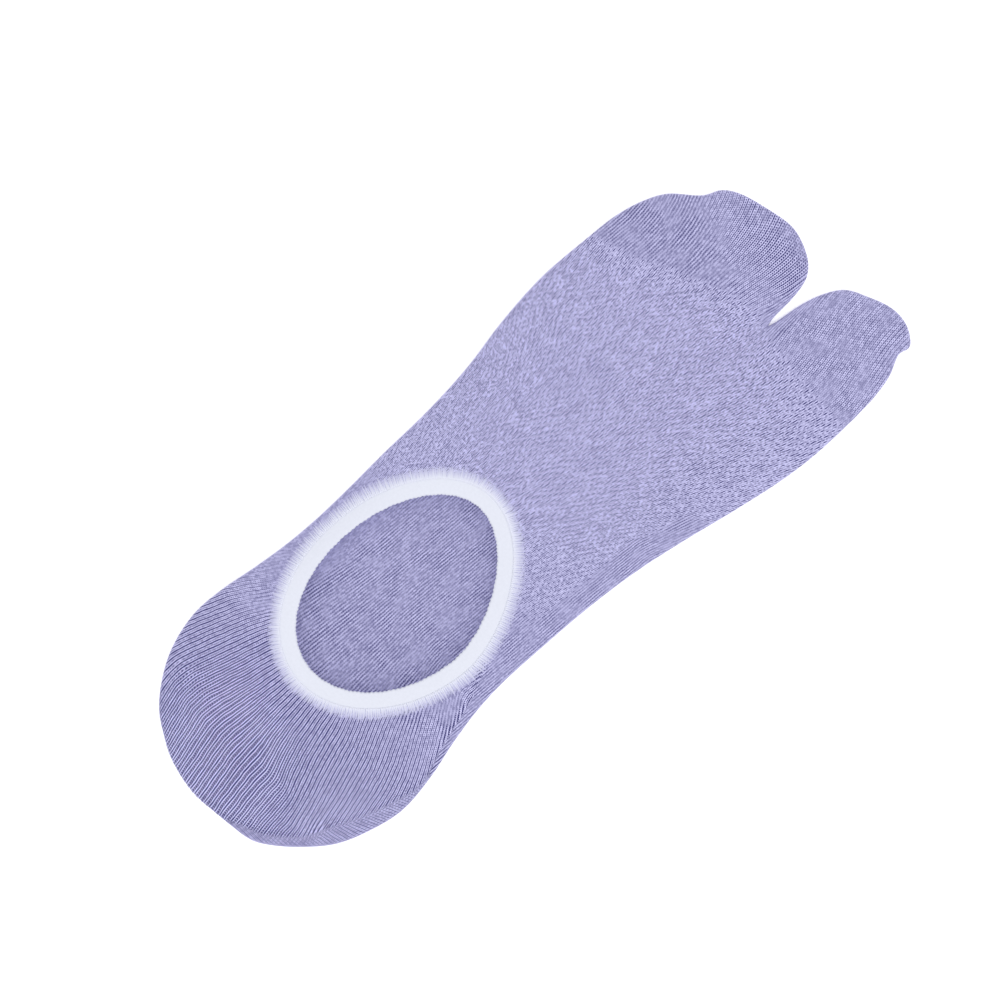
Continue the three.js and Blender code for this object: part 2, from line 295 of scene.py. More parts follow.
def toe_place(x, y):
    """Where a point of the toe pockets would lie if their wales ran straight up like the instep's."""
    in_four = x / np.interp(y, toe_levels, toe_fan) + np.interp(y, toe_levels, toe_drift)
    in_big = x + np.interp(y, toe_levels, big_toe_drift) - big_toe_middle
    in_big = big_toe_middle + in_big / column_through(big_toe_fan_rows, 1, y)
    side = smoothly((x - 2.5 + 0.02 * (y - 82)) / 8)
    return in_four + (in_big - in_four) * side


def wale_number(x, y):
    """Counts the wales across to each point, evenly between the guides of the chart at its height."""
    place = toe_place(x, y)
    guides = np.stack([column_through(wale_chart, k + 1, y) for k in range(len(guide_wales))])
    gap = guides[1:] - guides[:-1]
    speed = 8 / gap
    speed = np.concatenate([speed[:1], (speed[1:] + speed[:-1]) / 2, speed[-1:]])
    i = np.clip((place >= guides).sum(0) - 1, 0, len(guides) - 2)
    col = np.arange(len(place))
    t = np.clip((place - guides[i, col]) / gap[i, col], 0, 1)
    m0, m1 = speed[i, col] * gap[i, col], speed[i + 1, col] * gap[i, col]
    inside = m0 * t + (24 - 2 * m0 - m1) * t**2 + (m0 + m1 - 16) * t**3
    over = place - guides[i, col] - t * gap[i, col]
    return np.array(guide_wales)[i] + inside + over * speed[np.where(over < 0, 0, -1), col]


def wales_and_pitch(x, y):
    """The wale number of each point, and how far apart the wales are there."""
    wale = wale_number(x, y)
    step = 0.3
    across = (wale_number(x + step, y) - wale) / step
    along = (wale_number(x, y + step) - wale) / step
    return wale, 1 / np.hypot(across, along)


test_x, test_y = np.array([0.0, 0.0, -10.0, 28.0]), np.array([-98.0, 30.0, 92.0, -70.0])
print("wale pitch on the heel, instep, toes and heel's side:", wales_and_pitch(test_x, test_y)[1].round(2))

# %% [markdown]
# Courses cross the wales. They are nearly level, closer on the heel and wider at the toe tips, and they
# sag where the cloth was stretched over the heel form and rise over the toes.

# %% Where the courses run
course_pitch_rows = [(-110, 0.60), (-70, 0.60), (-40, 0.63), (60, 0.62), (85, 0.60), (100, 0.72),
                     (111, 0.72)]
bow_rows = [(-110, 0.001), (-95, 0.004), (-84, 0.012), (-70, 0.010), (-50, 0.006), (-25, 0), (111, 0)]
course_levels = np.arange(-112, 112, 0.5)
course_counts = np.cumsum(0.5 / between_rows(course_pitch_rows, course_levels))


def course_number(x, y):
    sag = between_rows(bow_rows, y) * (x - 1) ** 2
    rise = 0.012 * smoothly((y - 82) / 14) * (x + 9) ** 2 * (x < 6)
    return np.interp(y - sag + rise, course_levels, course_counts)


# %% [markdown]
# A sock machine changes its stitch as it goes. The toes, the sole and a strip at each side are plain
# jersey, the instep is a fine tuck mesh, and the heel is knitted back and forth, which opens its wales
# into ribs. The rows of tiny holes where the heel's two halves meet are its gore. Each of these is a mask.

# %% Zones of the knit
mesh_top_edge = [(-42, 62), (-30, 67), (-22, 72), (-16, 75), (-10, 78.5), (-4, 81), (2, 82.5), (8, 80.5),
                 (40, 79.5)]
gore_line = np.array([(25.5, -28), (27.2, -32.2), (29.8, -36.8), (31.4, -40), (33.1, -45), (34.2, -49),
                      (35.8, -53.8), (38, -58.5), (39.3, -62), (39.5, -66), (37.5, -75), (36, -80),
                      (33, -88), (30.5, -95), (28, -98), (23, -103), (15, -107)], float)
tip_holes = [(-6.5, 96.2, 6.5, 3.2), (-1.5, 92.5, 4.5, 4.0), (-14, 92, 5, 2.2)]


def side_of_gore(x, y):
    """Distance from the gore, positive outside it, towards the fold."""
    distance, _ = distance_to(gore_line, x, y)
    line_x = np.interp(y, gore_line[::-1, 1], gore_line[::-1, 0])
    return np.where(x > line_x, distance, -distance)


def zones(x, y):
    """The tuck mesh, how deep the gaps between the wales are, and the open holes, each from 0 to 1."""
    top = np.interp(x, *zip(*mesh_top_edge))
    mesh = smoothly((top - y) / 1.6 + 0.5)
    strip = 26.5 + 3 * smoothly((y - 18) / 12) + 20 * smoothly((y - 32) / 14)
    mesh = mesh * smoothly((strip - x) / 2.5 + 0.5)
    mesh = mesh * smoothly((y + 26 - 0.3 * np.clip(x, 0, 30)) / 10)
    heel = smoothly((-44 - y - 0.35 * np.clip(-16 - x, 0, 20)) / 24)
    calm = smoothly((-16 - x) / 6) * smoothly((y + 78) / 20) * smoothly((8 - y) / 10)
    # The depth of the gaps sets how much painted shade the material puts in them.
    depth = 0.6 + 0.4 * heel - 0.5 * calm
    # Open holes at the toe tips, which the material paints as shade.
    hole = np.zeros(np.shape(x))
    for across, along, wide, long in tip_holes:
        hole = hole + np.exp(-(((x - across) / wide) ** 2 + ((y - along) / long) ** 2))
    hole = np.clip(hole, 0, 1)
    return mesh, depth + 0.25 * hole, hole


# %% [markdown]
# The cloth itself is one closed shell: an outer skin, an inner skin a wall's thickness inside it, and a
# rim round the mouth that joins them. A grid of sections gives a clean surface for the wales to be raised
# on. Each skin is a grid of the foot and one for each toe pocket, and the three meet at the crotch.

# %% Grids of a skin
heel_level = -75.0
waist_level = -28.0


def folded_edges(inset):
    """The four edges of the folded sock between the heel, the two tips and the crotch."""
    step = unit(np.gradient(outline, axis=0))
    moved = outline + inset * np.stack([-step[:, 1], step[:, 0]], -1)
    if inset:
        inner_crotch = np.array([[crotch[0], crotch[1] - 1.5 * inset]])
        moved = np.vstack([inner_crotch, moved, inner_crotch])
    heel = moved[:, 1].argmin()
    four = moved[:heel, 1].argmax()
    big = heel + moved[heel:, 1].argmax()
    return {
        "heel": moved[heel], "four": moved[four], "big": moved[big], "crotch": moved[0],
        "four_inner": moved[:four + 1], "lateral": moved[four:heel + 1][::-1],
        "medial": moved[heel:big + 1], "big_inner": moved[big:][::-1],
    }


def crossing(edge, y):
    """Where an edge, listed from low to high, crosses each level."""
    rising = np.maximum.accumulate(edge[:, 1])
    return np.interp(y, rising, edge[:, 0])


def section_grids(inset, heel_rows, foot_rows, toe_rows, columns):
    """Plan points of the foot and of the two toe pockets, each as rows by columns."""
    edge = folded_edges(inset)
    heel_y, crotch_y = edge["heel"][1], edge["crotch"][1]
    quarter = np.arange(heel_rows + 1) / heel_rows * math.pi / 2
    heel_levels = heel_level + (heel_y - heel_level) * np.cos(quarter)
    low_rows, high_rows = foot_rows
    low_levels = np.linspace(heel_level, waist_level, low_rows + 1)[1:]
    high_levels = np.linspace(waist_level, crotch_y, high_rows + 1)[1:]
    levels = np.concatenate([heel_levels, low_levels, high_levels])
    left, right = crossing(edge["lateral"], levels), crossing(edge["medial"], levels)
    share = (levels - heel_y) / (crotch_y - heel_y)
    split = (left + right) / 2 * (1 - share) + edge["crotch"][0] * share
    left[0] = right[0] = split[0] = edge["heel"][0]
    first = left[:, None] + (split - left)[:, None] * columns
    second = split[:, None] + (right - split)[:, None] * columns[1:]
    foot_x = np.hstack([first, second])
    grids = {"foot": np.stack([foot_x, np.broadcast_to(levels[:, None], foot_x.shape)], -1)}
    for name, outer, inner in (("four", "lateral", "four_inner"), ("big", "big_inner", "medial")):
        tip = edge[name]
        up_levels = crotch_y + (tip[1] - crotch_y) * np.sin(np.arange(toe_rows + 1) / toe_rows * math.pi / 2)
        low, high = crossing(edge[outer], up_levels), crossing(edge[inner], up_levels)
        low[-1] = high[-1] = tip[0]
        toe_x = low[:, None] + (high - low)[:, None] * columns
        grids[name] = np.stack([toe_x, np.broadcast_to(up_levels[:, None], toe_x.shape)], -1)
    return grids


def even_columns(count, near_edge=(0.0015, 0.005)):
    """Shares of a strip's width, a few of them crowded at its two edges."""
    body = np.linspace(0.012, 0.988, count)
    return np.concatenate([[0], near_edge, body, 1 - np.array(near_edge[::-1]), [1]])


outer_columns = even_columns(144)
outer_grids = section_grids(0.0, heel_rows=58, foot_rows=(62, 78), toe_rows=32, columns=outer_columns)
print("outer grid:", {name: grid.shape[:2] for name, grid in outer_grids.items()})

# %% [markdown]
# The mouth is egg-shaped. The elastic fills the first 4.5 mm outward from its inner edge, and the knit is
# cut just outside that. Grid points near the cut slide onto it, which gives a clean edge without a
# boolean's long slivers.

# %% The mouth
mouth = {"across": -1.2, "along": -35.6, "length": 60.1, "width": 42.6,
         "toe_taper": 0.11, "toe_lean": -3.0, "heel_lean": -0.9}
elastic_width = 4.5
cut_outward = elastic_width + 0.02


def mouth_point(angle, outward=0.0):
    """A point of the egg at each angle from the medial side, moved outward from its inner edge."""
    def egg(turn):
        toward = np.sin(turn)
        growth = np.abs(toward) ** 1.5
        lean = np.where(toward > 0, mouth["toe_lean"], mouth["heel_lean"]) * growth
        taper = np.where(toward > 0, 1 - mouth["toe_taper"] * growth, 1)
        x = mouth["across"] + lean + mouth["width"] / 2 * taper * np.cos(turn)
        return np.stack([x, mouth["along"] + mouth["length"] / 2 * toward], -1)
    step = unit(egg(angle + 0.01) - egg(angle - 0.01))
    return egg(angle) + np.stack([step[..., 1], -step[..., 0]], -1) * np.asarray(outward)[..., None]


def ring_width(turn):
    """How far the overlock reaches onto the knit, a little unevenly."""
    return 2.8 + 0.12 * np.sin(3 * turn) + 0.08 * np.sin(7 * turn + 1)


around = np.linspace(0, 2 * math.pi, 361)
mouth_edge = mouth_point(around)
cut_edge = mouth_point(around, cut_outward)
print("mouth:", np.ptp(mouth_edge, axis=0).round(1), "mm, cut:", np.ptp(cut_edge, axis=0).round(1), "mm")


def signed_distance(curve, x, y):
    """Distance from a closed curve round the mouth, negative inside it, and the nearest point's offset."""
    distance, away = distance_to(curve, x, y)
    centre = curve[:-1].mean(0)
    turn = np.arctan2(y - centre[1], x - centre[0])
    curve_turn = np.unwrap(np.arctan2(curve[:, 1] - centre[1], curve[:, 0] - centre[0]))
    reach = np.hypot(curve[:, 0] - centre[0], curve[:, 1] - centre[1])
    turn = (turn - curve_turn[0]) % (2 * math.pi) + curve_turn[0]
    inside = np.hypot(x - centre[0], y - centre[1]) < np.interp(turn, curve_turn, reach)
    return np.where(inside, -distance, distance), away


# %% [markdown]
# Beyond the gore the cloth is the other half of the heel, folded round from the sole. Its wales run nearly
# across the foot at the heel's corner and straight along it beside the mouth. The widest ribs of the heel
# are raised as real shape, by moving points along the surface's normal. Anything finer is left to the
# material, because a mesh fine enough for every loop would be too heavy.

# %% Beyond the gore, and the heel's ribs
rib_height = 0.16
beyond_pitch = 0.8
beyond_lean_rows = [(-112, 0.08), (-98, 0.14), (-92, 0.2), (-86, 0.27), (-80, 0.48), (-60, 0.5)]


def outside_gore(x, y, wale, course, pitch):
    """Wales, courses and pitch of the cloth, changed beyond the gore."""
    beyond = side_of_gore(x, y)
    lean = np.interp(y, *zip(*beyond_lean_rows))
    corner = (y < -60) & (beyond > 0)
    side = (y >= -60) & (y < -29) & (beyond > 0)
    wale = np.where(corner, (y - (x - 34) * lean) / beyond_pitch, wale)
    course = np.where(corner, beyond / 0.6, course)
    wale = np.where(side, 40 + (x - 26) / 0.675, wale)
    pitch = np.where(corner, 0.95, np.where(side, 0.675, pitch))
    return wale, course, pitch, beyond


def relief(wale, pitch, depth):
    ridge = np.cos(2 * math.pi * (wale - 0.5))
    return rib_height / 2 * ridge * smoothly(depth * 4 - 3) * smoothly((pitch - 1.0) / 0.35)


# %% [markdown]
# Now the skins become a mesh. Points and faces are gathered in arrays, because a hundred thousand of them
# are quick to make that way and slow one by one. Wale, course, pitch and the masks are kept on each point
# as attributes, for the material to read.

# %% The shell's points and faces
points, facts, quads = [], [], []


def add_points(xyz, facts_here):
    first = sum(len(p) for p in points)
    points.append(xyz.reshape(-1, 3))
    facts.append(facts_here.reshape(-1, 7))
    return first + np.arange(xyz[..., 0].size).reshape(xyz.shape[:-1])


def surface_facts(x, y, on_sole):
    """Seven facts of each point: wale, course, pitch, mesh, depth, hole, thread fade."""
    mesh, depth, hole = zones(x, y)
    course = course_number(x, y)
    if on_sole:
        spread = 1 + 0.008 * np.clip(-38 - y, 0, 40)
        wale = (x + 4) / (0.71 * spread)
        pitch = 0.71 * spread
        mesh, depth, hole = mesh * 0, np.minimum(depth, 0.62), hole * 0
    else:
        wale, pitch = (v.reshape(np.shape(x)) for v in wales_and_pitch(np.ravel(x), np.ravel(y)))
        wale, course, pitch, beyond = outside_gore(x, y, wale, course, pitch)
        # Holes along the gore go into the hole mask, which the material paints as shade.
        near_gore = np.exp(-(((beyond + 0.7) / np.where(y < -56, 0.95, 0.7)) ** 2)) * (y < -29)
        hole = np.maximum(hole, 2 * near_gore * smoothly((-28 - y) / 4))
    around_mouth, _ = signed_distance(mouth_edge, x, y)
    turn = np.arctan2(y - mouth["along"], x - mouth["across"])
    fade = np.clip(1 - (around_mouth - elastic_width) / ring_width(turn), 0, 1)
    fade = fade * (around_mouth > 0) * (not on_sole)
    return np.stack([wale, course, pitch, mesh, depth, hole, fade], -1)


def strips(index, flip):
    a, b, c, d = index[:-1, :-1], index[:-1, 1:], index[1:, 1:], index[1:, :-1]
    faces = np.stack([a, b, c, d] if not flip else [d, c, b, a], -1)
    return faces.reshape(-1, 4)


def add_skin(grids, inset, outside, kept):
    """The upper and the sole of one skin. The upper keeps clear of the mouth; both share their lips."""
    lips = [0, -1]
    cell = 0.45 if outside else 0.9
    last = (grids["foot"].shape[1] - 1) // 2
    for name in ("foot", "four", "big"):
        grid = grids[name]
        x, y = grid[..., 0], grid[..., 1]
        from_cut, away = signed_distance(cut_edge, x, y)
        if name == "foot":
            slide = np.abs(from_cut) * (np.abs(from_cut) < cell)
            x, y = x - away[..., 0] * slide, y - away[..., 1] * slide
        top, _, normal = cloth_heights(x, y, inset)
        top[:, lips] = fold_radius
        facts_top = surface_facts(x, y, on_sole=False)
        upper = np.stack([x, y, top], -1)
        if outside:
            lifted = relief(*(facts_top[..., k] for k in (0, 2, 4)))
            lifted = lifted * smoothly((from_cut - 0.3) / 1.5)
            upper = upper + normal * lifted[..., None]
        index = add_points(upper, facts_top)
        if name == "foot":
            index[0, :] = index[0, 0]
            foot_index = index
        else:
            cut = slice(0, last + 1) if name == "four" else slice(last, 2 * last + 1)
            index[0, :] = foot_index[-1, cut]
            index[-1, :] = index[-1, 0]
        faces = strips(index, flip=not outside)
        if name == "foot":
            faces = faces[~strips(from_cut < -cell * 0.999, flip=False).any(1)]
        quads.append(faces)
        kept_here = kept if name != "foot" else np.concatenate([kept, kept[1:] + last])
        sole_x, sole_y = grid[:, kept_here, 0], grid[:, kept_here, 1]
        low = cloth_heights(sole_x, sole_y, inset)[1]
        sole = np.stack([sole_x, sole_y, low], -1)
        sole_index = add_points(sole, surface_facts(sole_x, sole_y, on_sole=True))
        sole_index[:, lips] = index[:, lips]
        if name == "foot":
            sole_index[0, :] = index[0, 0]
            sole_index[-1, len(kept) - 1] = index[-1, last]
            foot_sole = sole_index
        else:
            half = slice(0, len(kept)) if name == "four" else slice(len(kept) - 1, 2 * len(kept) - 1)
            sole_index[0, :] = foot_sole[-1, half]
            sole_index[-1, :] = index[-1, 0]
        quads.append(strips(sole_index, flip=outside))


def spaced_columns(count, step, crowded):
    """Numbers of the columns that a plain side keeps: a few at each edge and every so many between."""
    inner = np.arange(crowded, count - crowded, step)
    return np.unique(np.concatenate([np.arange(crowded), inner, np.arange(count - crowded, count)]))


add_skin(outer_grids, 0.0, True, spaced_columns(len(outer_columns), 16, 5))
inner_columns = even_columns(34)
inner_grids = section_grids(wall, heel_rows=14, foot_rows=(34, 46), toe_rows=12, columns=inner_columns)
add_skin(inner_grids, wall, False, spaced_columns(len(inner_columns), 1, 3))

# %% [markdown]
# The two skins still end in open loops at the mouth. Bridging the loops makes the cut rim of the cloth,
# and the shell is then closed, as the export and the cloth's measurements want it.

# %% Close the shell
coords = np.vstack(points) - np.append(middle, 0)
all_facts = np.vstack(facts)
faces = np.vstack(quads)


def new_mesh(name, points_mm, faces):
    mesh = bpy.data.meshes.new(name)
    mesh.from_pydata((np.reshape(points_mm, (-1, 3)) * MM).tolist(), [], faces)
    return mesh


def store(mesh, name, values):
    """Keeps a number or a vector on each point of a mesh, for its material to read."""
    kind, field = ("FLOAT_VECTOR", "vector") if np.ndim(values) == 2 else ("FLOAT", "value")
    mesh.attributes.new(name, kind, "POINT").data.foreach_set(field, np.ravel(values))


def without_repeats(face):
    """A face's corners, each once: the fans at the tips come out as triangles."""
    return list(dict.fromkeys(face))


polygons = [p for p in map(without_repeats, faces.tolist()) if len(p) > 2]
sock_mesh = new_mesh("knit_cloth", coords, polygons)
store(sock_mesh, "stitch", all_facts[:, :3])
store(sock_mesh, "zone", all_facts[:, 3:6])
store(sock_mesh, "thread_fade", all_facts[:, 6])

bm = bmesh.new()
bm.from_mesh(sock_mesh)
bmesh.ops.delete(bm, geom=[v for v in bm.verts if not v.link_faces], context="VERTS")
open_edges = [e for e in bm.edges if e.is_boundary]
print("open edges at the mouth:", len(open_edges))
bmesh.ops.bridge_loops(bm, edges=open_edges)
bmesh.ops.recalc_face_normals(bm, faces=bm.faces)
left_open = sum(1 for e in bm.edges if not e.is_manifold)
bm.to_mesh(sock_mesh)
bm.free()
sock_mesh.shade_smooth()
sock_mesh.calc_loop_triangles()
print("cloth:", len(sock_mesh.loop_triangles), "triangles,", left_open, "edges not closed")

sock = place_object("knit_cloth", sock_mesh)
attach(sock, "root")
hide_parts("knit_sock")

# %% [markdown]
# The materials need many small sums. Here a node's output is wrapped, so that Python's own signs put Math
# nodes in the tree: a sum written as a formula is short to read and hard to wire wrongly.

# %% Helpers for shader nodes
class Wire:
    """A node's output, which can be added to, multiplied and so on as if it were a number."""

    def __init__(self, socket):
        self.socket = socket

    def __add__(self, other):
        return calc("ADD", self, other)

    def __sub__(self, other):
        return calc("SUBTRACT", self, other)

    def __rsub__(self, other):
        return calc("SUBTRACT", other, self)

    def __mul__(self, other):
        return calc("MULTIPLY", self, other)

    def __truediv__(self, other):
        return calc("DIVIDE", self, other)


def plug(value, socket):
    """Links a wire to an input, or gives the input a constant."""
    if isinstance(value, Wire):
        socket.id_data.links.new(value.socket, socket)
    else:
        socket.default_value = value


def calc(operation, *terms):
    """A Math node of wires and numbers, in the wires' own tree."""
    tree = next(term.socket.id_data for term in terms if isinstance(term, Wire))
    node = tree.nodes.new("ShaderNodeMath")
    node.operation = operation
    for term, socket in zip(terms, node.inputs):
        plug(term, socket)
    return Wire(node.outputs[0])


def fill(node, **settings):
    """Settings that name one of the node's inputs go there, and the rest are its properties."""
    for name, value in settings.items():
        socket = node.inputs.get(name.replace("_", " "))
        if socket is None:
            setattr(node, name, value)
        else:
            plug(value, socket)


def make_node(tree, kind, output=0, **settings):
    """Adds a node with its settings and gives back one of its outputs."""
    node = tree.nodes.new(kind)
    fill(node, **settings)
    return Wire(node.outputs[output])


def new_group(name, inputs, output):
    """An empty node group, the wires from its inputs, and its one output to plug into."""
    group = bpy.data.node_groups.new(name, "ShaderNodeTree")
    for title, value in inputs.items():
        kind = "NodeSocketVector" if value is None else "NodeSocketFloat"
        socket = group.interface.new_socket(title, in_out="INPUT", socket_type=kind)
        if value is not None:
            socket.default_value = value
    group.interface.new_socket(output, in_out="OUTPUT", socket_type="NodeSocketFloat")
    given = {socket.name: Wire(socket) for socket in group.nodes.new("NodeGroupInput").outputs}
    return group, given, group.nodes.new("NodeGroupOutput").inputs[0]


# %% [markdown]
# Loops of yarn. Seen close, a wale is two bright threads, the legs of its loops, with a dotted gap between
# them and a darker one beside them; the gaps' darkness is painted shade. Where wales are crowded the two
# legs close up to one line. No machine knits quite evenly, so the wales waver a little, and their gaps are
# deep in one patch and faint in the next. The group draws this from the wale and course numbers, as one
# shade that is also the height: painted light on the threads and painted shade in the gaps and holes.

# %% Knit loops group
loops, given, result = new_group(
    "knit loops", {"Stitch": None, "Zone": None, "Thread": 0.14, "Waver": 0.25}, "Shade"
)
full_turn = 2 * math.pi


def parts(vector):
    """The three numbers of a vector."""
    node = vector.socket.id_data.nodes.new("ShaderNodeSeparateXYZ")
    plug(vector, node.inputs[0])
    return map(Wire, node.outputs)


def ramp(value, low, high, start=0.0, end=1.0):
    """Goes from start to end while the value goes from low to high."""
    return make_node(loops, "ShaderNodeMapRange", Value=value, From_Min=low, From_Max=high,
                     To_Min=start, To_Max=end)


def bell(off, width):
    """A smooth hump, one at nought and fading within the width."""
    share = off / width
    return calc("EXPONENT", share * share * -1.0)


def luck(across, along):
    """A number from 0 to 1 that is the same all over a cell and unlike its neighbours'."""
    cell = make_node(loops, "ShaderNodeCombineXYZ", X=across, Y=along)
    return make_node(loops, "ShaderNodeTexWhiteNoise", noise_dimensions="2D", Vector=cell)


def drift(per_wale, per_course):
    """A number about 0.5 that drifts slowly from stitch to stitch."""
    place = make_node(loops, "ShaderNodeCombineXYZ", X=wale_no * per_wale, Y=course_no * per_course)
    return make_node(loops, "ShaderNodeTexNoise", noise_dimensions="2D", Scale=1.0, Detail=1.0, Vector=place)


wale_no, course_no, pitch_mm = parts(given["Stitch"])
mesh_mask, gap_depth, hole_mask = parts(given["Zone"])
waver = (drift(0.45, 0.16) - 0.5) * given["Waver"]
in_wale = calc("FRACT", wale_no + waver)
from_middle = calc("ABSOLUTE", in_wale - 0.5)
leg_place = ramp(pitch_mm, 0.82, 0.95, 0.07, 0.25) + ramp(pitch_mm, 1.15, 1.5, 0.0, 0.075)
leg = bell(from_middle - leg_place, given["Thread"] / pitch_mm)
slanted = course_no + from_middle * 1.2
rung = calc("COSINE", slanted * full_turn) * 0.5 + 0.5

# Each leg is a little brighter or darker for a course or two, as the yarn twists.
leg_no = calc("FLOOR", wale_no * 2.0)
leg_start = luck(leg_no, 0.5) * 9.0
twist = luck(leg_no, calc("FLOOR", course_no * 0.8 + leg_start))
leg_light = twist * 0.56 + 0.72
between_legs = calc("LESS_THAN", from_middle, leg_place)

# Where the gaps are deep, on the heel, the wales stand as ribs, with the most painted shade between them.
# Elsewhere the gaps' painted shade comes and goes in patches, and rungs of yarn cross them.
ribbed = ramp(gap_depth, 0.62, 0.9)
wide_pitch = ramp(pitch_mm, 1.2, 1.5)
patch = ramp(drift(0.16, 0.1), 0.3, 0.7, 0.35, 1.35)
patchy = patch + (1.0 - patch) * ribbed
inner_rungs = between_legs * (ribbed * -0.35 + 1.0)
rung_share = calc("MAXIMUM", inner_rungs, gap_depth * -0.45 + 0.75)
inner_share = 1.0 - ribbed * (1.0 - (wide_pitch * 0.68 + 0.22))
fine_pitch = ramp(pitch_mm, 0.86, 0.98, 1.8, 3.1)
strength = fine_pitch + (3.7 - fine_pitch) * ribbed
depth_here = gap_depth * strength * (inner_share * between_legs + (1.0 - between_legs))
open_gap = (1.0 - leg) * (1.0 - rung * rung_share)
even_mean = ribbed * (wide_pitch * 0.09 + 0.04) + 0.31
# Painted shade in the gaps, as deep as the gap and patchy.
painted_gap_shade = (open_gap - even_mean) * depth_here * patchy
rung_light = (rung - 0.5) * between_legs * ((1.0 - leg) * (ribbed * 0.25))
plain = leg_light * 0.51 * (1.0 - painted_gap_shade + rung_light)

# %% [markdown]
# The tuck mesh shows slim dashes, each a hole drawn dark as painted shade, with a bright loop at each side.
# Each one's place in its own cell is measured from the nearest point of a staggered lattice, two wales by
# four courses. The dashes lean out to both sides of the foot, and some are deep while others have all but
# closed.

# %% Tuck mesh
rising = wale_no * 0.5 + course_no * 0.25
falling = wale_no * 0.5 - course_no * 0.25
rising_no, falling_no = calc("ROUND", rising), calc("ROUND", falling)
off_rising, off_falling = rising - rising_no, falling - falling_no
off_wale = off_rising + off_falling
off_course = (off_rising - off_falling) * 2.0
lean = wale_no * off_course * -0.003
dash_luck = luck(rising_no, falling_no)
off_dash = off_wale + lean + (dash_luck * 0.16 - 0.08)
# The painted shade of each dash's hole, edged by its brighter loops.
dash = bell(off_dash, 0.55) * bell(off_course, dash_luck * 0.45 + 0.6)
flank = calc("COSINE", off_dash * (1.55 * full_turn))
dash = dash * (flank * 1.05 + 0.36) * (dash_luck * 0.6 + 0.5)
fine_leg = calc("COSINE", wale_no * full_turn) * 0.03
speck = luck(leg_no, calc("FLOOR", course_no * 1.5 + leg_start))
tuck = fine_leg + (speck * 0.44 + 0.42) - dash

both = plain * (1.0 - mesh_mask) + tuck * mesh_mask
# Painted shade in the open holes at the toe tips, darkest where the gaps are open.
in_gap = (1.0 - leg) * (1.0 - rung)
painted_hole_shade = (in_gap - 0.28) * calc("MINIMUM", hole_mask, 1.0) * 0.85

# Along the gore each wale ends in one bigger hole, drawn dark as painted shade. The mask goes past one
# there.
gore_share = calc("MAXIMUM", hole_mask - 1.0, 0.0)
gore_hole_shade = gore_share * bell(from_middle - 0.5, 0.26)
plug(calc("MAXIMUM", both - (painted_hole_shade + gore_hole_shade * 0.5), 0.0), result)

# %% [markdown]
# Yarn is never quite even. Its thickness and dye change slowly along the thread and quickly from fibre to
# fibre. The same unevenness shows on the knit, on the elastic and on the overlock threads, so it is a
# group too, with its own size and strength in each.

# %% Uneven yarn group
uneven, given, result = new_group("uneven yarn", {"Place": None, "Along": 1.0, "Amount": 0.1}, "Factor")
stretched = uneven.nodes.new("ShaderNodeVectorMath")
stretched.operation = "MULTIPLY"
plug(given["Place"], stretched.inputs[0])
plug(make_node(uneven, "ShaderNodeCombineXYZ", X=1.0, Z=1.0, Y=given["Along"]), stretched.inputs[1])
streak = make_node(uneven, "ShaderNodeTexNoise", Vector=Wire(stretched.outputs[0]), Scale=1.0, Detail=2.0)
plug((streak - 0.5) * given["Amount"] * 2.0 + 1.0, result)

# %% [markdown]
# The knit is dyed lavender. A photograph of cloth wrapped round the sock would be quicker, but drawn loops
# stay sharp from any side. The loops' painted light and shade mixes a shaded and a lit copy of the yarn
# colour. The cloth whitens under the overlock threads, and a painted sheen pales it where it turns away, as
# light grazing its fuzz does.

# %% Lavender knit material
# A shaded and a lit copy of the lavender yarn, mixed as painted light and shade.
shadow_yarn = (0.03, 0.027, 0.15, 1)
lit_yarn = (0.68, 0.668, 1.0, 1)
pale_thread = (0.78, 0.80, 0.93, 1)
# Colour of the painted sheen where the knit turns away from view.
painted_sheen_colour = (0.72, 0.70, 0.93, 1)


def new_material(name):
    material = bpy.data.materials.new(name)
    material.use_nodes = True
    tree = material.node_tree
    return material, tree, tree.nodes["Principled BSDF"]


def attribute(tree, name, output):
    return make_node(tree, "ShaderNodeAttribute", output, attribute_name=name)


def mix_in(tree, share, first, second, blend="MIX"):
    """Mixes two colours, each of them a constant or a wire."""
    mix = tree.nodes.new("ShaderNodeMix")
    mix.data_type, mix.blend_type = "RGBA", blend
    for value, number in ((share, 0), (first, 6), (second, 7)):
        plug(value, mix.inputs[number])
    return Wire(mix.outputs[2])


knit_material, tree, surface = new_material("lavender knit")
stitch_at = attribute(tree, "stitch", "Vector")
knit_shade = make_node(tree, "ShaderNodeGroup", node_tree=loops, Stitch=stitch_at,
                       Zone=attribute(tree, "zone", "Vector"), Thread=0.14, Waver=0.25)
yarn = make_node(tree, "ShaderNodeGroup", node_tree=uneven, Place=stitch_at, Along=0.25, Amount=0.08)
lavender = mix_in(tree, knit_shade * yarn, shadow_yarn, lit_yarn)
whitened = mix_in(tree, attribute(tree, "thread_fade", "Fac") * 0.95, lavender, pale_thread)
# Painted sheen: the colour pales as the surface turns away from the view.
facing = make_node(tree, "ShaderNodeLayerWeight", "Facing", Blend=0.5)
with_painted_sheen = mix_in(tree, calc("POWER", facing, 2.0) * 0.7, whitened, painted_sheen_colour)
bump = make_node(tree, "ShaderNodeBump", Strength=0.5, Distance=0.12 * MM, Height=knit_shade)
fill(surface, Base_Color=with_painted_sheen, Normal=bump, Roughness=0.9, Specular_IOR_Level=0.1)
sock_mesh.materials.append(knit_material)
print("nodes:", len(loops.nodes), "for the loops,", len(tree.nodes), "in the material")

# %% [markdown]
# The elastic is a soft flat tape. Its outer edge is sewn down and its inner edge is finished with a row of
# tiny nubs, so the section is swept round the egg with the inner edge moved in and out a little. The tape
# is thin and white, so much of the light that falls on it comes through to the cloth below. Here it casts
# no shadow from the lamp, which comes closer to that than a solid tape would.

# %% Elastic round the mouth
elastic_thick = 1.7
elastic_proud = 0.25
nub_count = 150
ring_steps = 900


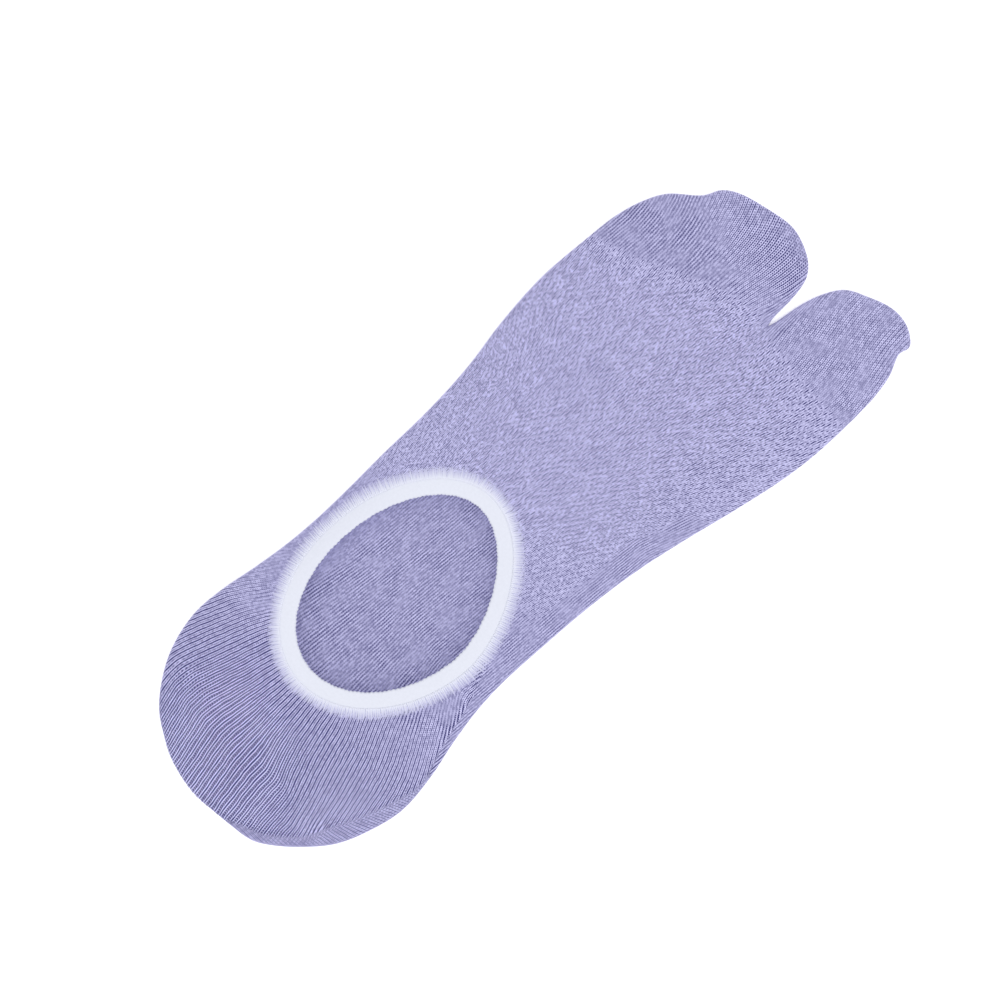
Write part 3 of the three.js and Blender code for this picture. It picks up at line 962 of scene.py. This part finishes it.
def elastic_section():
    """Half-round edges and a slightly crowned top, as (outward, up) from the tape's middle."""
    turn_radius = 0.55
    section = []
    for corner_x, corner_z, start in ((1, 1, 90), (1, -1, 0), (-1, -1, -90), (-1, 1, -180)):
        for k in range(5):
            angle = math.radians(start - 90 * k / 4)
            section.append((
                corner_x * (elastic_width / 2 - turn_radius) + turn_radius * math.cos(angle),
                corner_z * (elastic_thick / 2 - turn_radius) + turn_radius * math.sin(angle),
            ))
    top = [(x, elastic_thick / 2 + 0.06 * (1 - (x / 1.7) ** 2)) for x in np.linspace(-1.5, 1.5, 5)]
    return np.array(section + top)


def face_outward(mesh):
    """Turns every face outward and smooths the mesh."""
    bm = bmesh.new()
    bm.from_mesh(mesh)
    bmesh.ops.recalc_face_normals(bm, faces=bm.faces)
    bm.to_mesh(mesh)
    bm.free()
    mesh.shade_smooth()


def sweep_ring(angles, section, outward_shift, lift, name):
    """Carries a closed section round the mouth, resting on the cloth's height."""
    outward = section[:, 0] + elastic_width / 2
    at = mouth_point(angles[:, None], outward[None, :] + outward_shift)
    seat = cloth_heights(at[..., 0], at[..., 1])[0]
    z = seat + lift + section[:, 1]
    ring = np.concatenate([at - middle, z[..., None]], -1)
    index = np.arange(z.size).reshape(z.shape)
    index = np.pad(index, (0, 1), mode="wrap")
    return new_mesh(name, ring, strips(index, flip=False).tolist())


ring_angles = np.linspace(0, 2 * math.pi, ring_steps, endpoint=False)
section = elastic_section()
nubs = 0.09 * np.cos(ring_angles * nub_count) + 0.05 * np.cos(ring_angles * 37 + 1)
inner_share = smoothly((-section[:, 0] - 1.2) / 1.0)
elastic_mesh = sweep_ring(
    ring_angles, section, np.outer(nubs, inner_share),
    elastic_proud - elastic_thick / 2, "mouth_tape",
)
face_outward(elastic_mesh)
elastic = place_object("mouth_tape", elastic_mesh)
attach(elastic, "root")
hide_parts("mouth_elastic")
print("elastic:", len(elastic_mesh.polygons), "faces")

# %% [markdown]
# The tape and the overlock threads are the same soft white yarn, so one function makes both materials. The
# far end of a thread is hidden among the loops of the knit, and takes on their colour there.

# %% White yarn
tape_white = (0.75, 0.772, 0.868, 1)
thread_white = (0.79, 0.81, 0.92, 1)
among_loops = (0.47, 0.46, 0.72, 1)
flecks_per_metre = 1400.0


def white_yarn(name, white, sinks):
    """Soft white yarn. If it sinks into the knit, its far end takes on the knit's colour."""
    material, tree, surface = new_material(name)
    place = tree.nodes.new("ShaderNodeVectorMath")
    place.operation = "SCALE"
    plug(make_node(tree, "ShaderNodeTexCoord", "Object"), place.inputs[0])
    place.inputs["Scale"].default_value = flecks_per_metre
    yarn = make_node(tree, "ShaderNodeGroup", node_tree=uneven, Place=Wire(place.outputs[0]), Amount=0.04)
    colour = mix_in(tree, 1.0, white, yarn, blend="MULTIPLY")
    if sinks:
        sunk_share = calc("POWER", attribute(tree, "thread_fade", "Fac"), 1.1) * 0.9
        colour = mix_in(tree, sunk_share, colour, among_loops)
    bump = make_node(tree, "ShaderNodeBump", Strength=0.3, Distance=0.05 * MM, Height=yarn)
    fill(surface, Base_Color=colour, Normal=bump, Roughness=0.65, Specular_IOR_Level=0.3, Sheen_Weight=0.1)
    return material


elastic_mesh.materials.append(white_yarn("white elastic", tape_white, sinks=False))
elastic.visible_shadow = False
print("the tape casts a shadow:", elastic.visible_shadow)

# %% [markdown]
# An overlock machine joins the tape to the knit. Its threads lie across the joint, close together, rise
# from under the tape's edge and sink into the loops of the knit a few millimetres out. Particles could lay
# them, but here each one's line is reckoned, a little uneven in its place, its length and its slant.

# %% Where the overlock threads run
random = np.random.default_rng(7)
thread_count = 400
thread_radius = 0.34
thread_sides = 6
thread_steps = 9
thread_start = 4.1

angle = (np.arange(thread_count) + random.uniform(-0.1, 0.1, thread_count)) / thread_count * 2 * math.pi
reach_out = elastic_width - thread_start + ring_width(angle) * random.uniform(0.75, 1.25, thread_count)
sway = random.uniform(-0.005, 0.005, thread_count)
t = np.linspace(0, 1, thread_steps)
outward = thread_start + np.outer(reach_out, t)
spine = mouth_point(angle[:, None] + np.outer(sway, t) * 2, outward)
seat = cloth_heights(spine[..., 0], spine[..., 1])[0]
rise = 0.1 * np.exp(-((outward - 4.3) / 0.5) ** 2) - 0.04 - 0.04 * t[None, :] ** 3
spine = np.concatenate([spine - middle, (seat + rise)[..., None]], -1)
print("threads reach out", reach_out.min().round(2), "to", reach_out.max().round(2), "mm")

# %% [markdown]
# Each thread becomes a thin tube of six sides that tapers outward. Four hundred objects would be slow to
# handle, so all of them are one mesh, made from arrays.

# %% Threads as one mesh
along_thread = unit(np.gradient(spine, axis=1))
side = unit(np.cross(along_thread, [0, 0, 1.0]))
over = np.cross(side, along_thread)
thin = thread_radius * (1 - 0.75 * t**2)
turns = np.arange(thread_sides) / thread_sides * 2 * math.pi
ring = (spine[:, :, None, :] + thin[None, :, None, None]
        * (np.cos(turns)[None, None, :, None] * side[:, :, None, :]
           + np.sin(turns)[None, None, :, None] * over[:, :, None, :]))
block = np.arange(thread_steps * thread_sides).reshape(thread_steps, thread_sides)
wrapped = np.hstack([block, block[:, :1]])
one_thread = strips(wrapped, flip=False).tolist() + [block[0].tolist()[::-1], block[-1].tolist()]
thread_faces = [[i + n * block.size for i in face] for n in range(thread_count) for face in one_thread]
thread_mesh = new_mesh("overlock_threads", ring, thread_faces)
store(thread_mesh, "thread_fade", np.broadcast_to(t[None, :, None], ring.shape[:3]).ravel())
face_outward(thread_mesh)
overlock = place_object("overlock_threads", thread_mesh)
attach(overlock, "root")
thread_mesh.materials.append(white_yarn("overlock yarn", thread_white, sinks=True))
print("overlock:", len(thread_mesh.polygons), "faces")

# %% [markdown]
# A knitted tube is one piece of cloth. Slit along one side it would open into a strip twice as wide as the
# folded sock, without the mouth that is left open in it.

# %% [markdown]
# The sock lies on a white table that is lit from below as well, as for a catalogue, so its shadow all but
# vanishes. The light above is a wide soft box a little to one side in a bright even room.

# %% Floor and light
half_floor = 1500
floor_corners = np.array([(-1, -1, 0), (1, -1, 0), (1, 1, 0), (-1, 1, 0)]) * half_floor
floor_mesh = new_mesh("floor", floor_corners, [(0, 1, 2, 3)])
floor = place_object("floor", floor_mesh)
floor.location.z = -0.00005
floor_material, tree, surface = new_material("white table")
fill(surface, Base_Color=(0.95, 0.95, 0.95, 1), Roughness=0.9,
     Emission_Color=(1, 1, 1, 1), Emission_Strength=0.35)
floor_mesh.materials.append(floor_material)

world = bpy.data.worlds.new("bright room")
world.use_nodes = True
fill(world.node_tree.nodes["Background"], Color=(1, 1, 1, 1), Strength=0.85)
bpy.context.scene.world = world

lamp_data = bpy.data.lights.new("soft box", "SUN")
lamp_data.energy = 0.75
lamp_data.angle = math.radians(25)
lamp = place_object("soft box", lamp_data)
lamp_from = Vector((0.34, 0.03, 1.0))
lamp.rotation_euler = lamp_from.to_track_quat("Z", "Y").to_euler()
bpy.context.scene.view_settings.view_transform = "Standard"
